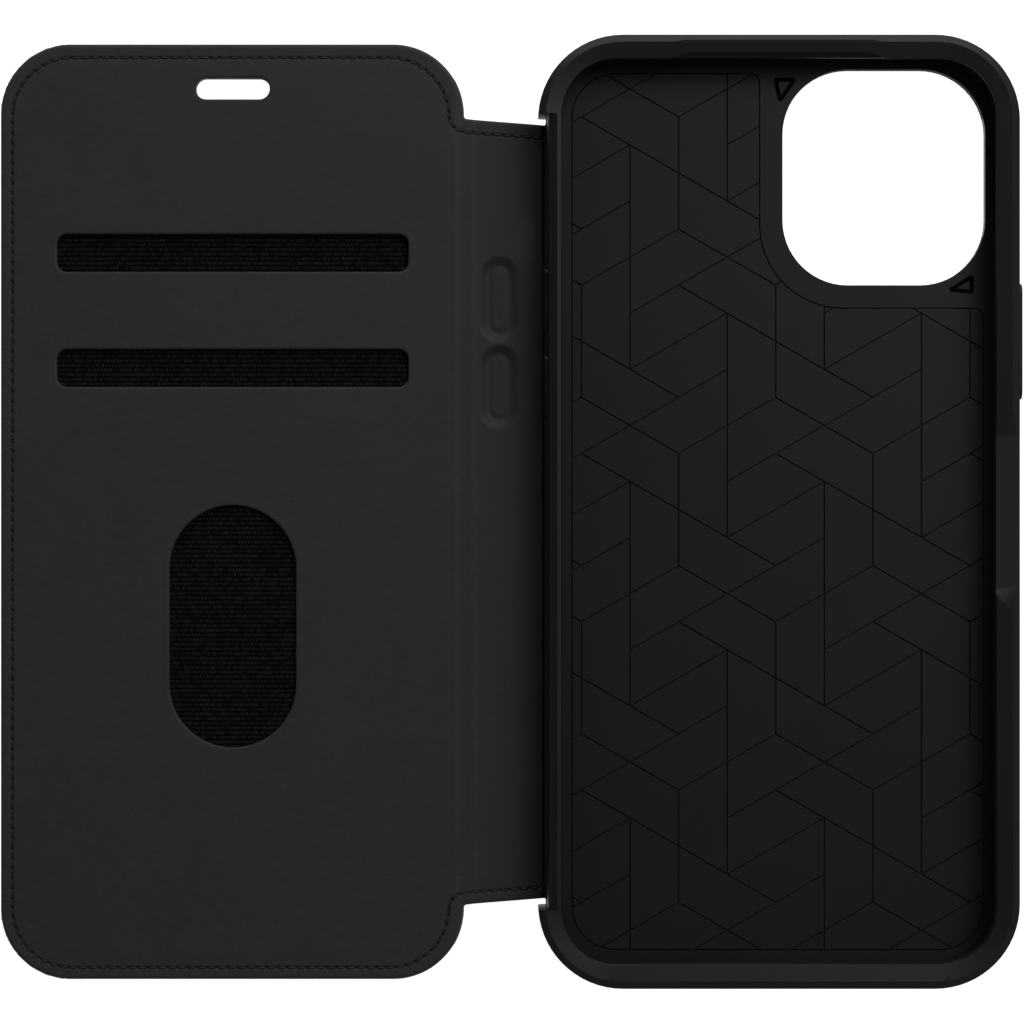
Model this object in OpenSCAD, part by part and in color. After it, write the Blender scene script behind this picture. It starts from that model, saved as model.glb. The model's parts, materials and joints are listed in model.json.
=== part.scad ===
// Folio case for a slab phone, lying open and flat.
// The tray for the phone is on the right, the card cover on the left and the folding spine between them.
// Units are millimetres. X runs across the open case, Y up the phone and Z up from the table.

/* [Phone] */
// width of the phone that the tray holds
phone_width = 71.5; // [70.5:0.1:72.5]
// length of the phone
phone_length = 146.7; // [145.7:0.1:147.7]
// thickness of the phone
phone_thickness = 7.4; // [7.2:0.1:7.6]
// room left around the phone on every side
phone_gap = 0.2; // [0.1:0.05:0.3]
// corner radius of the phone seen from the front
phone_corner_radius = 10.2; // [9.6:0.1:10.8]

/* [Tray] */
// thickness of the tray walls at the long sides
side_wall = 2.4; // [2.25:0.05:2.6]
// thickness of the tray walls at the two ends
end_wall = 2.4; // [2.25:0.05:2.5]
// corner radius of the tray outline
tray_corner_radius = 13.5; // [12.4:0.1:13.8]
// thickness of the tray floor
floor_thickness = 1.5; // [1.4:0.05:1.7]
// thickness of the lip that holds the phone down
lip_thickness = 1.2; // [1.15:0.05:1.3]
// how far the lip reaches over the phone at the long sides
lip_side_reach = 1.42; // [1.2:0.02:1.6]
// how far the lip reaches over the phone at the two ends
lip_end_reach = 1.5; // [1.4:0.05:1.6]
// width of the bevel along the outer edge of the rim
rim_bevel = 1.2; // [0.9:0.05:1.25]
// height of the bevel along the outer edge of the rim
rim_bevel_height = 0.75; // [0.6:0.05:0.8]
// how far the rim falls from its outer ridge to the lip edge
rim_fall = 0.48; // [0.3:0.02:0.5]
// small bevel along the inner edge of the lip
lip_bevel = 0.15; // [0.1:0.01:0.2]
// width of the rounded edge between floor and walls
floor_round_width = 0.8; // [0.5:0.1:1.2]
// height of the rounded edge between floor and walls
floor_round_height = 0.6; // [0.4:0.1:1]
// bevel along the lower outer edge of the tray
base_bevel = 0.8; // [0.6:0.05:1]
// height of the lower tray edge above the table
base_lift = 0.15; // [0.1:0.01:0.2]
// depth of the step in the left wall that takes the closed spine
spine_step_depth = 1.5; // [1.45:0.01:1.55]
// length of the step in the left wall
spine_step_length = 126.8; // [126.6:0.1:127.2]
// length of the level part of the thumb notch in the right rim
notch_length = 23.8; // [20:0.2:26]
// length of the ramp at each end of the thumb notch
notch_ramp = 4.1; // [3.5:0.1:5]
// depth of the thumb notch
notch_depth = 0.8; // [0.6:0.05:0.85]
// how far the top of the left wall leans in beside the closed spine
step_lean_width = 1.55; // [1.4:0.05:1.6]
// height of the leaning part of the left wall
step_lean_height = 1.7; // [1.4:0.1:1.8]
// half length of the shallow cutback in the lip at the camera end
cutback_half = 17; // [15:0.5:18]
// depth of that cutback
cutback_depth = 0.17; // [0.1:0.01:0.3]
// how far each end of the cutback runs along the lip for each millimetre across it
cutback_slope = 3.2; // [2.5:0.1:4]
// width of the slope along the lip in the cutback
lip_slope_width = 0.9; // [0.6:0.05:1]
// how far that slope drops at the lip's edge
lip_slope_drop = 0.4; // [0.2:0.05:0.4]
// how far the two slots at the foot of the wall under the cutback go into the wall
under_slot_depth = 1.1; // [0.6:0.1:1.3]
// how far those slots reach over the floor
under_slot_reach = 0.65; // [0.4:0.05:0.9]
// height of those slots
under_slot_height = 3.5; // [2:0.1:4.5]
// width of the bridge between the two slots
under_slot_bridge = 1.8; // [1:0.1:2.4]
// length of the slot on the spine side of the bridge
long_slot_length = 16.2; // [12:0.1:16.5]
// length of the slot on the camera side of the bridge
short_slot_length = 3.1; // [2:0.1:5]

/* [Camera window] */
// width of the camera window
camera_width = 32.65; // [31:0.1:33]
// length of the camera window
camera_length = 34.75; // [33:0.1:35.2]
// corner radius of the camera window
camera_corner_radius = 10.5; // [9.5:0.1:10.8]
// distance of the camera window from the phone side
camera_side_margin = 2.2; // [2:0.05:2.6]
// distance of the camera window from the phone end
camera_end_margin = 2.3; // [2.1:0.05:2.6]
// width of the collar round the camera window on the back
collar_width = 1.4; // [1.2:0.1:1.6]

/* [Floor engraving] */
// side of one triangle of the engraved lattice
lattice_side = 9.04; // [8.8:0.02:9.2]
// width of an engraved line
groove_width = 0.2; // [0.18:0.02:0.3]
// depth of an engraved line
groove_depth = 0.4; // [0.3:0.05:0.7]
// distance of the engraved border from the phone sides
border_side_margin = 3; // [2.8:0.1:3.4]
// distance of the engraved border from the phone ends
border_end_margin = 2.85; // [2.8:0.05:3.4]
// corner radius of the engraved border
border_corner_radius = 7.2; // [6:0.1:8]
// space between the camera window and the border beside it
border_camera_space = 3.6; // [3:0.1:3.7]
// corner radius of the border beside the camera window
border_camera_radius = 13.4; // [12:0.1:14]
// line width of the small triangles beside the camera window
mark_line = 0.65; // [0.4:0.05:0.7]
// depth of the small triangles
mark_depth = 1.2; // [0.6:0.1:1.3]

/* [Buttons] */
// length of the power button
power_length = 18.5; // [17:0.1:20]
// height of the power button centre above the middle of the phone length
power_centre = 27.2; // [26:0.1:28]
// length of each volume button
volume_length = 10.3; // [9.6:0.1:10.4]
// position of the volume up button along the phone
volume_up_centre = 33.9; // [33.6:0.1:34.2]
// position of the volume down button along the phone
volume_down_centre = 20; // [19.8:0.1:20.3]
// width of every button across the tray wall
button_width = 3; // [2.6:0.1:3.1]
// height of the button centres above the table
button_height = 6.8; // [6.6:0.1:6.9]
// how far the power button stands out of the wall
power_rise = 0.7; // [0.5:0.05:0.8]
// how far the volume buttons stand out of the stepped wall
volume_rise = 0.62; // [0.5:0.02:0.62]
// play between a button and its hole
button_play = 0.06; // [0.04:0.01:0.1]
// how far the inner flange of a button reaches past its hole
flange_reach = 0.7; // [0.5:0.05:0.8]
// thickness of the inner flange
flange_thickness = 0.4; // [0.35:0.01:0.45]
// length of the hole for the mute switch
mute_length = 9.2; // [8:0.1:10]
// position of the mute switch along the phone
mute_centre = 46.4; // [45:0.1:48]
// width of the hole for the mute switch
mute_width = 4; // [3:0.1:4.4]

/* [End openings] */
// width of the charging port hole
port_width = 13; // [12:0.1:15]
// height of the charging port hole
port_height = 5.2; // [4.6:0.1:5.4]
// width of each speaker hole beside the port
speaker_width = 12.5; // [10:0.1:14]
// height of each speaker hole
speaker_height = 2.6; // [2:0.1:3]
// distance from the port centre to each speaker hole centre
speaker_spacing = 18; // [17:0.1:19]

/* [Leather] */
// thickness of the leather panel on the back of the tray
back_leather_thickness = 0.8; // [0.75:0.01:0.85]
// thickness of the adhesive film under the panel
adhesive_thickness = 0.1; // [0.08:0.01:0.15]
// distance from the tray outline to the panel
panel_margin = 1.25; // [1.2:0.01:1.4]
// height of both fold lines above the table
fold_height = 0.6; // [0.58:0.01:0.62]
// thickness of the outer leather of the spine
spine_leather_thickness = 0.45; // [0.42:0.01:0.48]
// thickness of the stiffening strip in the spine
spine_strip_thickness = 0.15; // [0.1:0.01:0.15]
// thickness of the whole spine
spine_thickness = 1; // [0.95:0.01:1]
// half length of the spine at the tray
spine_half_at_tray = 62.45; // [62:0.05:62.6]
// half length of the spine at the cover
spine_half_at_cover = 63.45; // [62.8:0.05:63.5]
// space left between the pieces on each side of a fold
fold_gap = 0.05; // [0.04:0.01:0.08]

/* [Cover] */
// distance from the fold to the free edge of the cover
cover_reach = 75.05; // [74:0.05:75.5]
// length of the cover
cover_length = 150.9; // [149:0.1:151]
// corner radius of the cover
cover_corner_radius = 11.4; // [11:0.1:12]
// thickness of the whole cover
cover_thickness = 2.5; // [2.45:0.01:2.6]
// thickness of the outer leather of the cover
outer_leather_thickness = 0.6; // [0.6:0.01:0.62]
// thickness of the inner leather of the cover
inner_leather_thickness = 0.7; // [0.6:0.01:0.72]
// width of the turned-up edge of the outer leather
turned_edge = 0.9; // [0.7:0.05:1]
// distance from the fold to the thick part of the cover
fold_margin = 0.5; // [0.48:0.01:0.6]
// space between the closed cover and the rim of the tray
closing_gap = 0.2; // [0.15:0.01:0.3]

/* [Card pockets] */
// width of both card windows
card_window_width = 56.6; // [55:0.1:57.5]
// length of both card windows
card_window_length = 6.05; // [5:0.05:7]
// corner radius of both card windows
card_window_radius = 1.6; // [1:0.1:2.4]
// position of the upper card window along the cover
upper_window_centre = 41.7; // [41:0.1:42.5]
// position of the lower card window along the cover
lower_window_centre = 23.15; // [22.5:0.05:24]
// distance of every window from the middle of the cover, towards the fold
window_shift = 0.2; // [0:0.05:0.3]
// width of the oval thumb window
thumb_width = 20.35; // [18:0.05:22]
// length of the oval thumb window
thumb_length = 39; // [36:0.1:41]
// position of the oval thumb window along the cover
thumb_centre = -18.5; // [-20:0.1:-17]
// width of the ear-speaker slot
ear_slot_width = 11.95; // [10:0.05:14]
// length of the ear-speaker slot
ear_slot_length = 3.55; // [3:0.05:4]
// position of the ear-speaker slot along the cover
ear_slot_centre = 68.25; // [67:0.05:68.6]
// width of the recess that the cards lie in
pocket_width = 58.4; // [58:0.1:60]
// upper end of the card recess
pocket_top = 47.5; // [46:0.1:50]
// lower end of the card recess
pocket_bottom = -66; // [-67:0.1:-64]
// upper end of the fabric divider
divider_top = 30.5; // [28:0.1:33]
// thickness of each fabric layer
fabric_thickness = 0.2; // [0.15:0.01:0.2]
// slack between the fabric layers
pocket_slack = 0.15; // [0.12:0.01:0.16]

/* [Spine racetracks] */
// width of each pressed racetrack
track_width = 5.9; // [5.8:0.1:6]
// length of the upper racetrack
upper_track_length = 13.7; // [13.4:0.1:14]
// length of the lower racetrack
lower_track_length = 13; // [12.8:0.1:13.2]
// position of the upper racetrack along the spine
upper_track_centre = 34.2; // [34:0.1:34.4]
// position of the lower racetrack along the spine
lower_track_centre = 20.2; // [20:0.1:20.4]
// distance from the tray fold to the racetrack centres
track_offset = 7.25; // [7.2:0.05:7.3]
// width of the groove round each island
track_groove = 1.25; // [1:0.05:1.4]

/* [Stitching] */
// distance from the cover outline to the middle of the thread
stitch_inset = 2; // [1.8:0.05:2.2]
// width of the thread line
thread_width = 0.36; // [0.3:0.02:0.4]
// width of the groove that the thread lies in
stitch_groove = 0.7; // [0.6:0.05:0.8]
// depth of the thread groove
stitch_depth = 0.3; // [0.2:0.05:0.35]

/* [Magnets] */
// length of each magnet
magnet_length = 20; // [15:0.5:21]
// position of each magnet pair from the middle
magnet_centre = 52; // [50:0.5:52]
// width of each cover magnet
cover_magnet_width = 3; // [2:0.1:3.5]
// thickness of each cover magnet
cover_magnet_thickness = 0.9; // [0.7:0.05:1]
// distance from the free edge to the cover magnets
cover_magnet_margin = 3; // [2.8:0.1:4]
// thickness of each tray magnet
tray_magnet_thickness = 1.1; // [0.8:0.05:1.2]
// height of each tray magnet
tray_magnet_height = 4; // [3:0.1:4.4]

/* [Hidden] */
$fn = 96;
// a cutting solid runs this far past the face that it cuts
past = 1;
// tray outline and heights
pocket_x = phone_width + 2 * phone_gap;
pocket_y = phone_length + 2 * phone_gap;
tray_width = pocket_x + 2 * side_wall;
tray_length = pocket_y + 2 * end_wall;
floor_base = back_leather_thickness + adhesive_thickness;
floor_top = floor_base + floor_thickness;
lip_base = floor_top + phone_thickness + phone_gap / 2;
rim_top = lip_base + lip_thickness;
lip_width = pocket_x - 2 * lip_side_reach;
lip_length = pocket_y - 2 * lip_end_reach;
lip_radius = phone_corner_radius - lip_side_reach;
// the rim slopes over this width, from the outer ridge to the lip edge
rim_slope_width = side_wall - rim_bevel + lip_side_reach;
// how many flat steps make up a rounded edge
round_steps = 6;
// the ridge stands out this much further along the cutback
swell_width = 0.3;
swell_rise = 0.05;
swell_slope = 8;
// the lip's inner face leans outward toward its lower edge
lip_draft = 0.2;
// the plungers over the volume keys are crowned to this radius
crown_radius = 2.3;
crown_foot = 0.05;
// the two slots under the cutback start this far above the floor, and the
// bridge between them is this far from the middle
under_slot_base = 0.05;
under_slot_shift = 0.07;
// the two folds are far enough apart for the cover to close flat on the rim
fold_span = rim_top + closing_gap + cover_thickness - 2 * fold_height;
// the step leaves this much room for the spine beside the fold
fold_to_step = 0.5;
tray_left_of_fold = spine_step_depth - fold_to_step;
total_width = cover_reach + fold_span + tray_width - tray_left_of_fold + power_rise;
cover_left = -total_width / 2;
cover_fold_x = cover_left + cover_reach;
tray_fold_x = cover_fold_x + fold_span;
tray_left = tray_fold_x - tray_left_of_fold;
tray_right = tray_left + tray_width;
tray_x = tray_left + tray_width / 2;
step_x = tray_left + spine_step_depth;
pocket_left = tray_x - pocket_x / 2;
pocket_right = tray_x + pocket_x / 2;
// camera window
camera_x = pocket_right - camera_side_margin - camera_width / 2;
camera_y = pocket_y / 2 - camera_end_margin - camera_length / 2;
// engraved lattice
lattice_column = lattice_side * sqrt(3) / 2;
lattice_row = lattice_side / 2;
lattice_x = tray_x - 2 * lattice_column;
lattice_y = 0.35;
border_left = pocket_left + border_side_margin;
border_right = pocket_right - border_side_margin + 0.6;
border_width = border_right - border_left;
border_length = pocket_y - 2 * border_end_margin;
border_camera_left = camera_x - camera_width / 2 - border_camera_space;
border_camera_low = camera_y - camera_length / 2 - border_camera_space;
border_small_radius = 1.6;
// each line of the pattern, as start column, start row, end column and end row of the lattice
LATTICE_LINES = [
    [0, 2, 0, -2],
    [-1, 1, -1, -7],
    [-2, 2, 2, -2],
    [-2, 4, 0, 2],
    [-1, -5, 3, -1],
    [0, 2, 2, 4],
    [1, -1, 3, 1]
];
// buttons
flange_width = button_width + 2 * flange_reach;
flange_room = flange_thickness + 0.06;
flange_play = 0.1;
port_z = (floor_top + lip_base) / 2;
// cover
cover_right = cover_fold_x - fold_margin;
cover_width = cover_right - cover_left;
cover_x = (cover_left + cover_right) / 2;
window_x = cover_x + window_shift;
inner_base = cover_thickness - inner_leather_thickness;
inner_inset = 0.12;
inner_bevel = 0.25;
board_inset = turned_edge + 0.05;
divider_base = inner_base - pocket_slack - fabric_thickness;
backing_base = divider_base - pocket_slack - fabric_thickness;
fabric_play = 0.1;
cover_magnet_x = cover_left + cover_magnet_margin + cover_magnet_width / 2;
cover_magnet_z = outer_leather_thickness + 0.1;
tray_magnet_x = pocket_right + (side_wall - tray_magnet_thickness) / 2;
tray_magnet_z = port_z - tray_magnet_height / 2;
// spine
strip_top = spine_leather_thickness + spine_strip_thickness;
track_x = tray_fold_x - track_offset;
track_floor = 0.2;
island_top = 0.42;
groove_floor = 0.34;
spine_stitch_inset = 1.85;
thread_top_drop = 0.02;
// colours
plastic_colour = [0.13, 0.13, 0.14];
leather_colour = [0.19, 0.19, 0.2];
back_colour = [0.17, 0.17, 0.18];
fabric_colour = [0.06, 0.06, 0.06];
thread_colour = [0.24, 0.24, 0.25];
board_colour = [0.45, 0.43, 0.4];
magnet_colour = [0.7, 0.7, 0.72];
film_colour = [0.85, 0.85, 0.8];

// ---- shared shapes ----

// a flat rounded rectangle centred on the origin
module rounded_rectangle(width, length, radius) {
    square([width - 2 * radius, length], center = true);
    square([width, length - 2 * radius], center = true);
    for (side = [-1, 1]) {
        for (end = [-1, 1]) {
            translate([side * (width / 2 - radius), end * (length / 2 - radius)])
            circle(r = radius);
        }
    }
}

// a flat slot with round ends, longer along X
module long_slot(length, width) {
    square([length - width, width], center = true);
    for (end = [-1, 1]) {
        translate([end * (length - width) / 2, 0])
        circle(d = width);
    }
}

// a rounded block whose edge follows a profile of [inset, height] pairs from bottom to top
module profiled_block(width, length, radius, profile) {
    last = len(profile) - 1;
    rotate([90, 0, 0])
    linear_extrude(height = length - 2 * radius, center = true)
    polygon(concat(
        [for (p = profile) [width / 2 - p[0], p[1]]],
        [for (i = [last:-1:0]) [profile[i][0] - width / 2, profile[i][1]]]
    ));
    rotate([90, 0, 90])
    linear_extrude(height = width - 2 * radius, center = true)
    polygon(concat(
        [for (p = profile) [length / 2 - p[0], p[1]]],
        [for (i = [last:-1:0]) [profile[i][0] - length / 2, profile[i][1]]]
    ));
    for (side = [-1, 1]) {
        for (end = [-1, 1]) {
            translate([side * (width / 2 - radius), end * (length / 2 - radius), 0])
            rotate_extrude()
            polygon(concat(
                [[0, profile[last][1]], [0, profile[0][1]]],
                [for (p = profile) [radius - p[0], p[1]]]
            ));
        }
    }
}

// a slot through a long wall: length along Y, width along Z, depth along X
module side_slot(length, width, depth) {
    rotate([90, 0, 90])
    linear_extrude(height = depth)
    long_slot(length, width);
}

// a slot through an end wall: length along X, width along Z, depth along -Y
module end_slot(length, width, depth) {
    rotate([90, 0, 0])
    linear_extrude(height = depth)
    long_slot(length, width);
}

// a bar along Y with the given section in X and Z
module bar_along_y(length, section) {
    rotate([90, 0, 0])
    linear_extrude(height = length, center = true)
    polygon(section);
}

// ---- tray ----

module camera_shape(grow) {
    translate([camera_x, camera_y])
    rounded_rectangle(camera_width + 2 * grow, camera_length + 2 * grow, camera_corner_radius + grow);
}

// the part of the floor that the engraved border leaves clear beside the camera window
module camera_clear_shape(grow) {
    reach = camera_width + camera_length;
    translate([
        border_camera_left - grow + reach / 2,
        border_camera_low - grow + reach / 2
    ])
    rounded_rectangle(reach, reach, border_camera_radius + grow);
}

module border_corner(x, y, radius) {
    translate([x, y])
    difference() {
        square([radius + groove_width, radius + groove_width]);
        circle(r = radius);
    }
}

// the engraved border outline, with its inside edge moved in by the given distance
module border_shape(inset) {
    small = border_small_radius - inset;
    low = border_camera_low - inset;
    left = border_camera_left - inset;
    top = border_length / 2 - inset;
    right = border_right - inset;
    difference() {
        translate([(border_left + border_right) / 2, 0])
        rounded_rectangle(border_width - 2 * inset, border_length - 2 * inset, border_corner_radius - inset);
        camera_clear_shape(inset);
        border_corner(left - small, top - small, small);
        border_corner(right - small, low - small, small);
    }
}

module lattice_line(line) {
    across = (line[2] - line[0]) * lattice_column;
    up = (line[3] - line[1]) * lattice_row;
    translate([line[0] * lattice_column, line[1] * lattice_row])
    rotate([0, 0, atan2(up, across)])
    translate([0, -groove_width / 2])
    square([sqrt(across * across + up * up), groove_width]);
}

module lattice_cell() {
    for (line = LATTICE_LINES) {
        lattice_line(line);
    }
}

module engraving_shape() {
    difference() {
        border_shape(0);
        border_shape(groove_width);
    }
    intersection() {
        border_shape(groove_width / 2);
        translate([lattice_x, lattice_y])
        union() {
            for (i = [-3:3]) {
                for (j = [-3:3]) {
                    translate([(4 * i + 2 * j) * lattice_column, 6 * j * lattice_row])
                    lattice_cell();
                }
            }
        }
    }
}

// a corner of a triangle, moved inward from both of its edges by width
function inset_corner(corners, i, width) =
    let (
        here = corners[i],
        ahead = corners[(i + 1) % 3] - here,
        back = corners[(i + 2) % 3] - here,
        a = ahead / norm(ahead),
        b = back / norm(back),
        sine = abs(a[0] * b[1] - a[1] * b[0])
    )
    here + (a + b) * width / sine;

// outward direction of a triangle's side, for corners listed clockwise
function side_normal(from, to) = [from[1] - to[1], to[0] - from[0]] / norm(to - from);

// the outline of a triangle, drawn with a line whose middle runs through the corners
module triangle_line(corners) {
    half = mark_line / 2;
    outer = [for (i = [0:2]) for (end = [0, 1])
        corners[(i + end) % 3] + side_normal(corners[i], corners[(i + 1) % 3]) * half
    ];
    difference() {
        polygon(outer);
        polygon([for (i = [0:2]) inset_corner(corners, i, half)]);
    }
}

module marks_shape() {
    translate([camera_x - camera_width / 2, camera_y + camera_length / 2])
    triangle_line([[-1.1, -1.61], [1.9, -1.61], [-0.44, -4.95]]);
    translate([camera_x + camera_width / 2, camera_y - camera_length / 2])
    triangle_line([[-2.15, 1.4], [-2.15, -1.05], [-5.6, -0.75]]);
}

module tray_body() {
    profile = [
        [base_bevel, base_lift],
        [0, base_lift + base_bevel],
        [0, rim_top - rim_bevel_height],
        [rim_bevel, rim_top]
    ];
    translate([tray_x, 0, 0])
    profiled_block(tray_width, tray_length, tray_corner_radius, profile);
    ridge_swell();
}

// a flat outline across the tray end, as long as the cutback at start, with
// ends that slope inward by slope for each millimetre across it
module cutback_outline(start, low, high, slope) {
    wide = cutback_half + slope * (start - low);
    narrow = cutback_half - slope * (high - start);
    polygon([[-wide, low], [-narrow, high], [narrow, high], [wide, low]]);
}

// a section drawn across the lip, run along the cutback
module along_cutback(section) {
    translate([tray_x, 0, 0])
    rotate([90, 0, 90])
    linear_extrude(height = 2 * cutback_half + 2 * past, center = true)
    polygon(section);
}

// the ridge stands slightly further out along the cutback
module ridge_swell() {
    edge = tray_length / 2;
    ridge = edge - rim_bevel;
    intersection() {
        along_cutback([
            [ridge - past, rim_top - past],
            [ridge, rim_top],
            [ridge + swell_width, rim_top + swell_rise],
            [edge, rim_top - rim_bevel_height],
            [edge - past, rim_top - past]
        ]);
        translate([tray_x, 0, rim_top - 2 * past])
        linear_extrude(height = 4 * past)
        cutback_outline(ridge, ridge - past, edge + past / 10, swell_slope);
    }
}

// the lip slopes off toward its edge along the cutback
module lip_slope() {
    edge = lip_length / 2 + cutback_depth;
    edge_top = rim_top - rim_fall;
    foot = edge_top - lip_slope_drop;
    rim_rise = rim_fall * (lip_slope_width + cutback_depth) / rim_slope_width;
    climb = 2 * (lip_slope_drop + rim_rise);
    reach = 2 * lip_slope_width;
    intersection() {
        along_cutback([
            [edge - past, foot],
            [edge, foot],
            [edge + reach, foot + climb],
            [edge - past, foot + climb]
        ]);
        translate([tray_x, 0, foot - past])
        linear_extrude(height = climb + 2 * past)
        cutback_outline(edge, edge - 2 * past, edge + reach + past / 10, cutback_slope);
    }
}

// room for the phone, opening upward through the lip
module phone_room() {
    quarter = 90 / round_steps;
    room = concat(
        [for (i = [0:round_steps]) [
            floor_round_width * (1 - sin(quarter * i)),
            floor_top + floor_round_height * (1 - cos(quarter * i))
        ]],
        [[0, lip_base]]
    );
    translate([tray_x, 0, 0])
    profiled_block(pocket_x, pocket_y, phone_corner_radius, room);
    edge_top = rim_top - rim_fall;
    opening = [
        [-lip_draft, lip_base - past],
        [0, edge_top - lip_bevel],
        [-lip_bevel, edge_top + rim_fall * lip_bevel / rim_slope_width],
        [-rim_slope_width, rim_top],
        [-rim_slope_width, rim_top + past]
    ];
    translate([tray_x, 0, 0])
    profiled_block(lip_width, lip_length, lip_radius, opening);
    // the lip is cut back a little at the camera end
    translate([tray_x, 0, lip_base - past])
    linear_extrude(height = lip_thickness + 2 * past)
    cutback_outline(lip_length / 2, lip_length / 2 - past, lip_length / 2 + cutback_depth, cutback_slope);
    lip_slope();
}

// the step that the closed spine lies in
module spine_step() {
    translate([tray_left - past, -spine_step_length / 2, -past])
    cube([spine_step_depth + past, spine_step_length, rim_top + 2 * past]);
    quarter = 90 / round_steps;
    lean_base = rim_top - rim_fall - step_lean_height;
    bar_along_y(spine_step_length, concat(
        [for (i = [0:round_steps]) [
            step_x + step_lean_width * (1 - cos(quarter * i)),
            lean_base + step_lean_height * sin(quarter * i)
        ]],
        [
            [step_x + step_lean_width, rim_top + past],
            [step_x - past, rim_top + past],
            [step_x - past, lean_base]
        ]
    ));
}

// two slots at the foot of the wall, where the mould closed under the lip
module under_slots() {
    low = pocket_y / 2 - under_slot_reach;
    width = under_slot_reach + under_slot_depth;
    base = floor_top + under_slot_base;
    centre = tray_x + under_slot_shift;
    translate([centre - under_slot_bridge / 2 - long_slot_length, low, base])
    cube([long_slot_length, width, under_slot_height]);
    translate([centre + under_slot_bridge / 2, low, base])
    cube([short_slot_length, width, under_slot_height]);
}

module panel_seat() {
    translate([0, 0, -past])
    linear_extrude(height = floor_base + past)
    difference() {
        translate([tray_x, 0])
        rounded_rectangle(
            tray_width - 2 * panel_margin,
            tray_length - 2 * panel_margin,
            tray_corner_radius - panel_margin
        );
        camera_shape(collar_width);
    }
}

module thumb_notch() {
    half = notch_length / 2;
    section = [
        [-half - notch_ramp, rim_top],
        [-half, rim_top - notch_depth],
        [half, rim_top - notch_depth],
        [half + notch_ramp, rim_top],
        [half + notch_ramp, rim_top + past],
        [-half - notch_ramp, rim_top + past]
    ];
    translate([tray_x, 0, 0])
    rotate([90, 0, 90])
    linear_extrude(height = tray_width / 2 + past)
    polygon(section);
}

module button_hole(length, centre, wall_x, wall_depth, flange_x) {
    translate([wall_x, centre, button_height])
    side_slot(length + 2 * button_play, button_width + 2 * button_play, wall_depth);
    translate([flange_x, centre, button_height])
    side_slot(
        length + 2 * flange_reach + 2 * flange_play,
        flange_width + 2 * flange_play,
        flange_room
    );
}

module wall_holes() {
    button_hole(power_length, power_centre, pocket_right - past, side_wall + 2 * past, pocket_right - 0.01);
    flange_left = pocket_left - flange_room + 0.01;
    button_hole(volume_length, volume_up_centre, step_x - past, side_wall, flange_left);
    button_hole(volume_length, volume_down_centre, step_x - past, side_wall, flange_left);
    translate([step_x - past, mute_centre, button_height])
    side_slot(mute_length, mute_width, side_wall);
    translate([tray_x, -pocket_y / 2 + past, port_z])
    end_slot(port_width, port_height, end_wall + 2 * past);
    for (side = [-1, 1]) {
        translate([tray_x + side * speaker_spacing, -pocket_y / 2 + past, port_z])
        end_slot(speaker_width, speaker_height, end_wall + 2 * past);
    }
}

module tray_magnet(centre) {
    translate([tray_magnet_x, centre - magnet_length / 2, tray_magnet_z])
    cube([tray_magnet_thickness, magnet_length, tray_magnet_height]);
}

module phone_shell() {
    color(plastic_colour)
    difference() {
        tray_body();
        phone_room();
        spine_step();
        panel_seat();
        translate([0, 0, -past])
        linear_extrude(height = floor_top + 2 * past)
        camera_shape(0);
        thumb_notch();
        wall_holes();
        tray_magnet(magnet_centre);
        tray_magnet(-magnet_centre);
        translate([0, 0, floor_top - groove_depth])
        linear_extrude(height = groove_depth + past)
        engraving_shape();
        translate([0, 0, floor_top - mark_depth])
        linear_extrude(height = mark_depth + past)
        marks_shape();
        under_slots();
    }
}

module shell_magnet_upper() {
    color(magnet_colour)
    tray_magnet(magnet_centre);
}

module shell_magnet_lower() {
    color(magnet_colour)
    tray_magnet(-magnet_centre);
}

// ---- buttons ----

module power_button() {
    color(plastic_colour)
    union() {
        translate([pocket_right + flange_thickness / 2, power_centre, button_height])
        side_slot(power_length, button_width, side_wall - flange_thickness / 2 + power_rise);
        translate([pocket_right, power_centre, button_height])
        side_slot(power_length + 2 * flange_reach, flange_width, flange_thickness);
    }
}

// a plunger with a crowned end and a flange inside the wall
module volume_button(centre) {
    tip = step_x - volume_rise;
    depth = pocket_left - tip - flange_thickness / 2;
    intersection() {
        translate([tip, centre, button_height])
        side_slot(volume_length, button_width, depth);
        union() {
            translate([tip + crown_radius, centre, button_height])
            rotate([90, 0, 0])
            cylinder(r = crown_radius, h = volume_length + 2 * past, center = true);
            translate([step_x - crown_foot, centre - volume_length / 2 - past, button_height - button_width])
            cube([depth, volume_length + 2 * past, 2 * button_width]);
        }
    }
    translate([pocket_left - flange_thickness, centre, button_height])
    side_slot(volume_length + 2 * flange_reach, flange_width, flange_thickness);
}

module volume_up_button() {
    color(plastic_colour)
    volume_button(volume_up_centre);
}

module volume_down_button() {
    color(plastic_colour)
    volume_button(volume_down_centre);
}

// ---- back of the tray ----

module panel_outline(extra) {
    difference() {
        union() {
            translate([tray_x, 0])
            rounded_rectangle(
                tray_width - 2 * panel_margin - 2 * extra,
                tray_length - 2 * panel_margin - 2 * extra,
                tray_corner_radius - panel_margin - extra
            );
            translate([tray_fold_x, -spine_half_at_tray + extra])
            square([2 * side_wall, 2 * spine_half_at_tray - 2 * extra]);
        }
        camera_shape(collar_width + fold_gap + extra);
    }
}

// everything left of the tray fold that the panel must stay clear of
module tray_fold_clearance() {
    section = [
        [tray_fold_x - 2 * past, -past],
        [tray_fold_x + fold_gap + fold_height + past, -past],
        [tray_fold_x + fold_gap, fold_height],
        [tray_fold_x + fold_to_step, fold_height],
        [tray_fold_x + fold_to_step, floor_base + past],
        [tray_fold_x - 2 * past, floor_base + past]
    ];
    bar_along_y(tray_length, section);
}

module back_leather() {
    color(back_colour)
    difference() {
        linear_extrude(height = back_leather_thickness)
        panel_outline(fold_gap);
        tray_fold_clearance();
    }
}

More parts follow.
